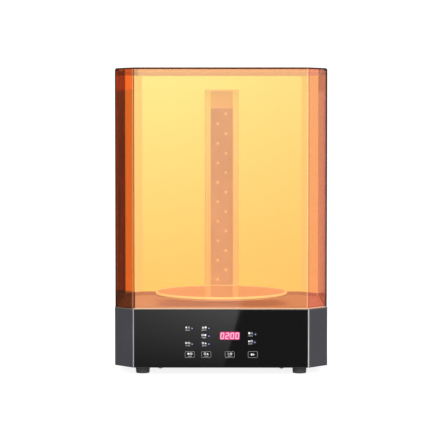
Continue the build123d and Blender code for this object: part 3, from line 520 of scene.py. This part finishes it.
def column_silver():
    """Satin silver extrusion, drawn lengthways, with a painted glow for the hood's scattered light,
    strongest in its slot and rising up its flanges.
    """
    made = Shader("silver_aluminium")
    lines = made.noise(500.0, 3.0, 0.6, (1.0, 1.0, 0.01))
    x, _, z = made.split(made.place())
    facing = made.split(made.normal())[1]
    in_slot = made.ramp(made.absolute(x), *SLOT_EDGE, 1.0, 0.0)
    slot = made.product(in_slot, made.ramp(facing, 0.4, 0.6, 1.0, 0.0))
    made.set(Base_Color=made.blend(made.levels(lines), SILVER_DARK, SILVER), Metallic=0.2)
    made.set(Roughness=made.levels(lines, 0.34, 0.46))
    made.set(Normal=made.bump(lines, 0.01 * MM, 0.5, made.soft_edges(0.4 * MM)))
    turned = made.ramp(facing, -0.6, -0.4)
    flange = made.blend(made.ramp(z, *FLANGE_HEIGHTS), FLANGE_LIFT_FOOT, FLANGE_LIFT_TOP)
    outside = made.blend(turned, flange, COLUMN_LIFT)
    made.lift(made.blend(slot, outside, made.blend(turned, SLOT_LIFT, SLOT_SIDE_LIFT)))
    return made.material


def metal(name, color, roughness):
    """Bare metal with a fine uneven surface."""
    made = Shader(name)
    lines = made.noise(500.0, 3.0, 0.6)
    darker = tuple(c * 0.9 for c in color)
    made.set(Base_Color=made.blend(made.levels(lines), darker, color), Metallic=1.0)
    made.set(Roughness=made.levels(lines, roughness - 0.06, roughness + 0.06))
    made.set(Normal=made.bump(lines, 0.01 * MM, 0.5))
    return made.material


def glowing(name, color, strength, base=(0.02, 0.02, 0.02)):
    """A lit mark, a little uneven across its area."""
    made = Shader(name)
    uneven = made.levels(made.noise(900.0, 2.0), 0.93 * strength, 1.07 * strength)
    made.set(Base_Color=base, Roughness=0.3, Emission_Color=color, Emission_Strength=uneven)
    return made.material


MATERIALS = {
    "amber_acrylic": amber_acrylic(),
    "clear_acrylic": clear_acrylic(),
    "housing_grey": housing(),
    "panel_black": glossy_panel(),
    "deck_grey": moulded("deck_grey", (0.183, 0.178, 0.178), 0.42, lift=DECK_LIFT),
    "turntable_silver": turntable_silver(),
    "rubber_black": moulded("rubber_black", (0.067, 0.067, 0.067), 0.28, 0.2),
    "silver_aluminium": column_silver(),
    "column_plastic": moulded("column_plastic", (0.80, 0.785, 0.76), 0.45, lift=CAP_LIFT),
    "led_board_grey": behind_window("led_board_grey", (0.70, 0.683, 0.683), 0.5, BOARD_LIFT),
    "led_white": behind_window("led_white", (0.86, 0.85, 0.83), 0.3, LED_LIFT),
    "board_green": moulded("board_green", (0.02, 0.12, 0.06), 0.35),
    "component_black": moulded("component_black", (0.02, 0.02, 0.022), 0.45),
    "display_red": moulded("display_red", (0.5, 0.03, 0.08), 0.25),
    "indicator_blue": moulded("indicator_blue", (0.6, 0.7, 1.0), 0.3),
    "touch_pad": moulded("touch_pad", (0.05, 0.05, 0.055), 0.8),
    "zinc_steel": metal("zinc_steel", (0.66, 0.66, 0.66), 0.32),
    "motor_black": moulded("motor_black", (0.02, 0.02, 0.022), 0.35),
    "bronze": metal("bronze", (0.62, 0.45, 0.25), 0.35),
    "gear_natural": moulded("gear_natural", (0.8, 0.79, 0.74), 0.4),
    "switch_black": moulded("switch_black", (0.023, 0.023, 0.025), 0.28),
    "nickel": metal("nickel", (0.75, 0.73, 0.68), 0.2),
}


def dress_nodes():
    """Gives every node of the frame its slot's material."""
    for entry in frame["record"]["subparts"]:
        node = NODES[entry["node"]]
        node.data.materials.clear()
        node.data.materials.append(MATERIALS[entry["material_slot"]])


dress_nodes()

# Marks on the front panel
PANEL_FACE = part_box("front_panel")[0].y
MARK_LIFT = 0.02 * MM
MARK_THICK = 0.04 * MM


class Marks:
    """Flat printed or lit marks on the panel's face, built as thin plates in one mesh."""

    def __init__(self, name, material, slot, lift=MARK_LIFT):
        self.name = name
        self.material = material
        self.slot = slot
        self.back = PANEL_FACE - lift
        self.mesh = bmesh.new()

    def plate(self, outline, hole=None):
        """One plate from its outline, in millimetres of x and z, with an optional hole."""
        rings = [self.ring(outline)] + ([self.ring(hole)] if hole else [])
        edges = [edge for ring in rings for edge in ring]
        made = bmesh.ops.triangle_fill(self.mesh, use_beauty=True, use_dissolve=False, edges=edges)
        faces = [item for item in made["geom"] if isinstance(item, bmesh.types.BMFace)]
        grown = bmesh.ops.extrude_face_region(self.mesh, geom=faces)
        moved = [item for item in grown["geom"] if isinstance(item, bmesh.types.BMVert)]
        bmesh.ops.translate(self.mesh, verts=moved, vec=(0, -MARK_THICK, 0))

    def ring(self, outline):
        corners = [self.mesh.verts.new((x * MM, self.back, z * MM)) for x, z in outline]
        return [self.mesh.edges.new((corners[i - 1], corners[i])) for i in range(len(corners))]

    def bar(self, x, z, width, height):
        self.plate(round_outline(x, z, width, height, min(width, height) / 2))

    def frame(self, x, z, width, height, radius, line):
        """A rounded outline of a given line width."""
        inner = round_outline(x, z, width - 2 * line, height - 2 * line, radius - line)
        self.plate(round_outline(x, z, width, height, radius), inner)

    def finish(self):
        bmesh.ops.recalc_face_normals(self.mesh, faces=self.mesh.faces)
        data = bpy.data.meshes.new(self.name)
        self.mesh.to_mesh(data)
        self.mesh.free()
        data.materials.append(self.material)
        piece = bpy.data.objects.new(self.name, data)
        bpy.context.scene.collection.objects.link(piece)
        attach(piece, "base")


def round_outline(x, z, width, height, radius, steps=4):
    """A rectangle with round corners."""
    points = []
    for quarter, (side, rise) in enumerate(((1, 1), (-1, 1), (-1, -1), (1, -1))):
        middle = (x + side * (width / 2 - radius), z + rise * (height / 2 - radius))
        for step in range(steps + 1):
            angle = math.pi / 2 * (quarter + step / steps)
            points.append((middle[0] + radius * math.cos(angle), middle[1] + radius * math.sin(angle)))
    return points


def circle_outline(x, z, radius):
    return [
        (x + radius * math.cos(angle), z + radius * math.sin(angle))
        for angle in (math.pi / 12 * step for step in range(24))
    ]


# Places on the panel, read from the photograph and turned into millimetres at the panel's face
PANEL_COLUMN = 221.0
PANEL_SCALE = 0.742
PANEL_ROW_SCALE = 0.7447
SEAM_ROW = 308.9
SEAM_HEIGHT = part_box("uv_hood")[0].z / MM


def panel_place(column, row):
    """The panel's x and z, in millimetres, behind a pixel of the photograph."""
    x = (column - PANEL_COLUMN) / PANEL_SCALE
    return x, SEAM_HEIGHT - (row - SEAM_ROW) / PANEL_ROW_SCALE


LABEL_PIXELS = (
    (187.6, 328.5), (187.6, 344.3), (204.2, 328.5), (204.0, 336.3), (204.4, 344.4),
    (250.7, 334.4), (250.4, 342.4),
)
LIGHT_PIXELS = (
    (192.1, 328.4), (192.1, 344.3), (209.0, 328.4), (209.0, 336.2), (209.0, 344.3),
    (255.5, 334.4), (254.9, 342.5),
)
KEY_PIXELS = ((189.8, 354.8), (206.3, 354.8), (229.8, 354.8), (252.9, 354.8))
DISPLAY_PIXELS = (229.8, 335.9)

# The marks, in millimetres
LABEL_SYMBOLS = (
    ("drop", "bars"), ("ring", "frame"), ("up", "dot"), ("frame", "dot"), ("ring", "up"),
    ("dot", "bars"), ("drop", "frame"),
)
KEY_SYMBOLS = (("dot", "frame"), ("frame", "up"), ("bars", "ring"))
SYMBOL = 2.8
SYMBOL_GAP = 0.8
LABEL_SYMBOL_RISE = 1.5
KEY_SYMBOL_RISE = 1.1
BAR_DROP = 2.0
BAR_HEIGHT = 0.75
LABEL_BAR = 6.4
KEY_BAR = 5.8
KEY_SIZE = (13.0, 8.6)
KEY_CORNER = 1.4
KEY_LINE = 0.45
LIGHT_RADIUS = 0.7
HALO_RADIUS = 2.6
DISPLAY_SIZE = (26.8, 10.6)
DISPLAY_CORNER = 1.6
COLON_RISE = 1.6
COLON_RADIUS = 0.55


def symbol(marks, kind, x, z, size):
    """One small generic pictogram."""
    half = size / 2
    if kind == "ring":
        marks.plate(circle_outline(x, z, half), circle_outline(x, z, half * 0.5))
    elif kind == "dot":
        marks.plate(circle_outline(x, z, half))
    elif kind == "bars":
        for row in (-1, 0, 1):
            marks.bar(x, z + row * size * 0.36, size, size * 0.2)
    elif kind == "frame":
        marks.frame(x, z, size, size, size * 0.25, size * 0.2)
    elif kind == "up":
        marks.plate([(x - half, z - half), (x + half, z - half), (x, z + half)])
    elif kind == "drop":
        lobe = [(x + half * 0.8 * math.cos(a), z - half * 0.2 + half * 0.8 * math.sin(a))
                for a in (math.pi * (0.85 + 1.3 * step / 10) for step in range(11))]
        marks.plate(lobe + [(x, z + half)])


def add_label(marks, pixel, kinds, rise, width):
    """Two pictograms side by side over a plain bar."""
    x, z = panel_place(*pixel)
    for side, kind in zip((-1, 1), kinds):
        symbol(marks, kind, x + side * (SYMBOL + SYMBOL_GAP) / 2, z + rise, SYMBOL)
    marks.bar(x, z - BAR_DROP, width, BAR_HEIGHT)


def add_labels():
    """The labels beside the lights, those of the first three keys, and the last key's pictogram."""
    marks = Marks("panel_labels", moulded("print_white", (0.88, 0.90, 0.93), 0.5), "panel_black")
    for pixel, kinds in zip(LABEL_PIXELS, LABEL_SYMBOLS):
        add_label(marks, pixel, kinds, LABEL_SYMBOL_RISE, LABEL_BAR)
    for pixel, kinds in zip(KEY_PIXELS, KEY_SYMBOLS):
        add_label(marks, pixel, kinds, KEY_SYMBOL_RISE, KEY_BAR)
    x, z = panel_place(*KEY_PIXELS[-1])
    marks.plate(round_outline(x - 1.5, z, 2.2, 2.5, 0.4))
    marks.plate([(x + 0.5, z - 1.3), (x + 2.6, z), (x + 0.5, z + 1.3)])
    marks.finish()
    frames = Marks("key_frames", moulded("print_grey", (0.28, 0.28, 0.29), 0.5), "panel_black")
    for pixel in KEY_PIXELS:
        frames.frame(*panel_place(*pixel), *KEY_SIZE, KEY_CORNER, KEY_LINE)
    frames.finish()


def add_indicator_lights():
    """Small lit dots, each in a faint halo."""
    lit = glowing("indicator_glow", (0.62, 0.68, 1.0), 1.0)
    faint = glowing("indicator_halo", (0.10, 0.10, 0.55), 0.035, (0.004, 0.004, 0.012))
    lights = Marks("indicator_lights", lit, "indicator_blue")
    halos = Marks("indicator_halos", faint, "indicator_blue", 0.0)
    for pixel in LIGHT_PIXELS:
        x, z = panel_place(*pixel)
        lights.plate(circle_outline(x, z, LIGHT_RADIUS))
        halos.plate(circle_outline(x, z, HALO_RADIUS))
    lights.finish()
    halos.finish()


# Seven-segment digits
DIGIT_WIDTH = 5.0
DIGIT_HEIGHT = 8.8
DIGIT_LINE = 1.3
DIGIT_SLANT = 0.08
DIGIT_PITCH = 6.75
SEGMENTS = {"0": "abcdef", "2": "abged"}
DIGITS = "0200"


def add_display():
    """The display's glow with four digits and a colon."""
    x0, z0 = panel_place(*DISPLAY_PIXELS)
    glow = Marks("display_glow", glowing("display_glow", (0.80, 0.025, 0.22), 1.0), "display_red", 0.0)
    glow.plate(round_outline(x0, z0, *DISPLAY_SIZE, DISPLAY_CORNER))
    glow.finish()
    digits = Marks("display_digits", glowing("display_digit", (1.0, 0.55, 0.72), 1.0), "display_red")
    half_w = DIGIT_WIDTH / 2 - DIGIT_LINE / 2
    half_h = DIGIT_HEIGHT / 2 - DIGIT_LINE / 2
    segments = {
        "a": (0, half_h, True),
        "b": (half_w, half_h / 2, False),
        "c": (half_w, -half_h / 2, False),
        "d": (0, -half_h, True),
        "e": (-half_w, -half_h / 2, False),
        "f": (-half_w, half_h / 2, False),
        "g": (0, 0, True),
    }
    for index, digit in enumerate(DIGITS):
        x = x0 + (index - 1.5) * DIGIT_PITCH
        for key in SEGMENTS[digit]:
            dx, dz, flat = segments[key]
            width = DIGIT_WIDTH - DIGIT_LINE * 0.9 if flat else DIGIT_LINE
            height = DIGIT_LINE if flat else DIGIT_HEIGHT / 2 - DIGIT_LINE * 0.35
            outline = round_outline(dx, dz, width, height, DIGIT_LINE / 3, 2)
            digits.plate([(x + px + pz * DIGIT_SLANT, z0 + pz) for px, pz in outline])
    for rise in (-COLON_RISE, COLON_RISE):
        digits.plate(circle_outline(x0 + rise * DIGIT_SLANT, z0 + rise, COLON_RADIUS))
    digits.finish()


add_labels()
add_indicator_lights()
add_display()

# Studio: a pale floor, soft boxes, and what the polished faces reflect. Its far end has a tone low
# down and one high up, and differs where the hood's left and right walls mirror it.
SEEN_WHITE = 1.12
ROOM_LIGHT = (0.84, 0.84, 0.84)
ROOM_LOW = (0.25, 0.25, 0.25)
ROOM_HIGH = (0.9, 0.9, 0.9)
ROOM_HEIGHT = (-0.2, 0.8)
ROOM_LEFT = (0.10, 0.08, 0.06)
ROOM_LEFT_REACH = (-0.6, -0.9)
FAR_END = (0.90, 0.96)
FAR_RISE = (0.028, 0.030)
LEFT_WALL_ACROSS = (0.056, 0.060)
RIGHT_WALL_ACROSS = (-0.0555, -0.0575)
LEFT_WALL_TONES = ((0.07, 0.07, 0.05), (0.43, 0.30, 0.20))
RIGHT_WALL_TONES = ((0.88, 1.0, 1.0), (0.94, 1.0, 1.0))
MIDDLE_TONES = ((1.37, 1.45, 1.44), (1.0, 0.88, 0.80))
OBJECT_MIDDLE = 0.2
FLOOR_SIZE = 12.0
FLOOR_DROP = 0.2 * MM
FLOOR_TONE = 0.367
FLOOR_LIFT = 0.86
FLOOR_NEAR = 0.45
FLOOR_FAR = 1.0


def make_world():
    """White for the camera, even light for matte faces, and the studio for polished ones."""
    world = bpy.data.worlds.new("world")
    world.use_nodes = True
    bpy.context.scene.world = world
    made = Shader("world", world.node_tree)
    background = world.node_tree.nodes["Background"]
    x, y, z = made.split(made.node("ShaderNodeTexCoord").outputs["Generated"])
    depth = made.math("MAXIMUM", y, 0.1)
    rise = made.ramp(made.math("DIVIDE", z, depth), *FAR_RISE)
    across = made.math("DIVIDE", x, depth)
    in_left_wall = made.ramp(across, *LEFT_WALL_ACROSS)
    in_right_wall = made.ramp(across, *RIGHT_WALL_ACROSS)
    far = made.blend(in_left_wall, made.blend(rise, *MIDDLE_TONES), made.blend(rise, *LEFT_WALL_TONES))
    far = made.blend(in_right_wall, far, made.blend(rise, *RIGHT_WALL_TONES))
    room = made.blend(made.ramp(z, *ROOM_HEIGHT), ROOM_LOW, ROOM_HIGH)
    room = made.blend(made.ramp(x, *ROOM_LEFT_REACH), room, ROOM_LEFT)
    studio = made.blend(made.ramp(y, *FAR_END), room, far)
    path = made.node("ShaderNodeLightPath").outputs
    light = made.blend(path["Is Glossy Ray"], ROOM_LIGHT, studio)
    white = (SEEN_WHITE, SEEN_WHITE, SEEN_WHITE)
    made.put(background, "Color", made.blend(path["Is Camera Ray"], light, white))


def make_floor():
    """White floor with a light contact shadow; further out it is as white as the background."""
    bpy.ops.mesh.primitive_plane_add(size=FLOOR_SIZE, location=(0, 0, -FLOOR_DROP))
    floor = bpy.context.object
    floor.name = "floor"
    floor.visible_glossy = False
    made = Shader("floor")
    x, y, _ = made.split(made.place())
    away = made.math("SQRT", made.math("ADD", made.product(x, x), made.product(y, y)))
    far = made.ramp(away, FLOOR_NEAR, FLOOR_FAR)
    tone = (FLOOR_TONE, FLOOR_TONE, FLOOR_TONE)
    camera = made.node("ShaderNodeLightPath").outputs["Is Camera Ray"]
    made.set(Base_Color=tone, Roughness=0.9, Specular_IOR_Level=0.0, Emission_Color=(1.0, 1.0, 1.0))
    made.set(Emission_Strength=made.product(camera, FLOOR_LIFT))
    glow = made.product(camera, SEEN_WHITE)
    white = made.node("ShaderNodeEmission", Color=(1.0, 1.0, 1.0), Strength=glow)
    made.finish(made.mix(far, made.surface, white))
    floor.data.materials.append(made.material)


# Card on the floor that the front panel reflects: lit on the left, black right of a slanting edge
CARD_FAR = (30.4 * MM, -941.0 * MM)
CARD_NEAR = (4.2 * MM, -191.0 * MM)
CARD_LIGHT = 1.35
CARD_PLACE = (0.0, -0.62, 1.0 * MM)
CARD_SCALE = (1.2, 1.0, 1.0)
CARD_DEPTH = (-0.10, -0.90)
CARD_SIDE = (-0.30, 0.02)
CARD_LEAST = 0.08


def make_reflection_card():
    """A glowing card that only glossy rays see."""
    bpy.ops.mesh.primitive_plane_add(size=1.0, location=CARD_PLACE)
    card = bpy.context.object
    card.name = "reflection_card"
    card.scale = CARD_SCALE
    for ray in ("camera", "diffuse", "transmission", "shadow", "volume_scatter"):
        setattr(card, "visible_" + ray, False)
    made = Shader("reflection_card")
    x, y, _ = made.split(made.node("ShaderNodeNewGeometry").outputs["Position"])
    lean = (CARD_FAR[0] - CARD_NEAR[0]) / (CARD_FAR[1] - CARD_NEAR[1])
    edge = made.math("MULTIPLY_ADD", made.math("SUBTRACT", y, CARD_NEAR[1]), lean, CARD_NEAR[0])
    lit = made.ramp(made.math("SUBTRACT", x, edge), -MM, MM, 1.0, 0.0)
    depth = made.ramp(y, *CARD_DEPTH)
    side = made.ramp(x, *CARD_SIDE, CARD_LEAST, 1.0)
    strength = made.product(lit, depth, side, CARD_LIGHT)
    made.finish(made.node("ShaderNodeEmission", Color=(1.0, 1.0, 1.0), Strength=strength))
    card.data.materials.append(made.material)


def soft_box(name, azimuth, elevation, distance, size, power, shiny=True):
    """A light that faces the object's middle; azimuth 0 is in front of it, 90 at its right."""
    middle = Vector((0, 0, OBJECT_MIDDLE))
    a, e = math.radians(azimuth), math.radians(elevation)
    towards = Vector((math.sin(a) * math.cos(e), -math.cos(a) * math.cos(e), math.sin(e)))
    lamp = bpy.data.lights.new(name, "AREA")
    lamp.shape = "RECTANGLE"
    lamp.size, lamp.size_y = size
    lamp.energy = power
    holder = bpy.data.objects.new(name, lamp)
    holder.location = middle + towards * distance
    holder.rotation_euler = (-towards).to_track_quat("-Z", "Y").to_euler()
    holder.visible_camera = False
    holder.visible_glossy = shiny
    bpy.context.scene.collection.objects.link(holder)


make_world()
make_floor()
make_reflection_card()
soft_box("left_box", -42, 16, 2.3, (0.9, 1.7), 7.2)
soft_box("right_box", 42, 16, 2.3, (0.9, 1.7), 10.8)
soft_box("front_box", 0, 9, 2.3, (1.4, 0.8), 27.6, shiny=False)
soft_box("top_box", 0, 78, 2.4, (1.6, 1.6), 3.6)
soft_box("back_box", 180, 35, 2.6, (1.8, 1.2), 12.0)
bpy.context.scene.view_settings.view_transform = "Standard"
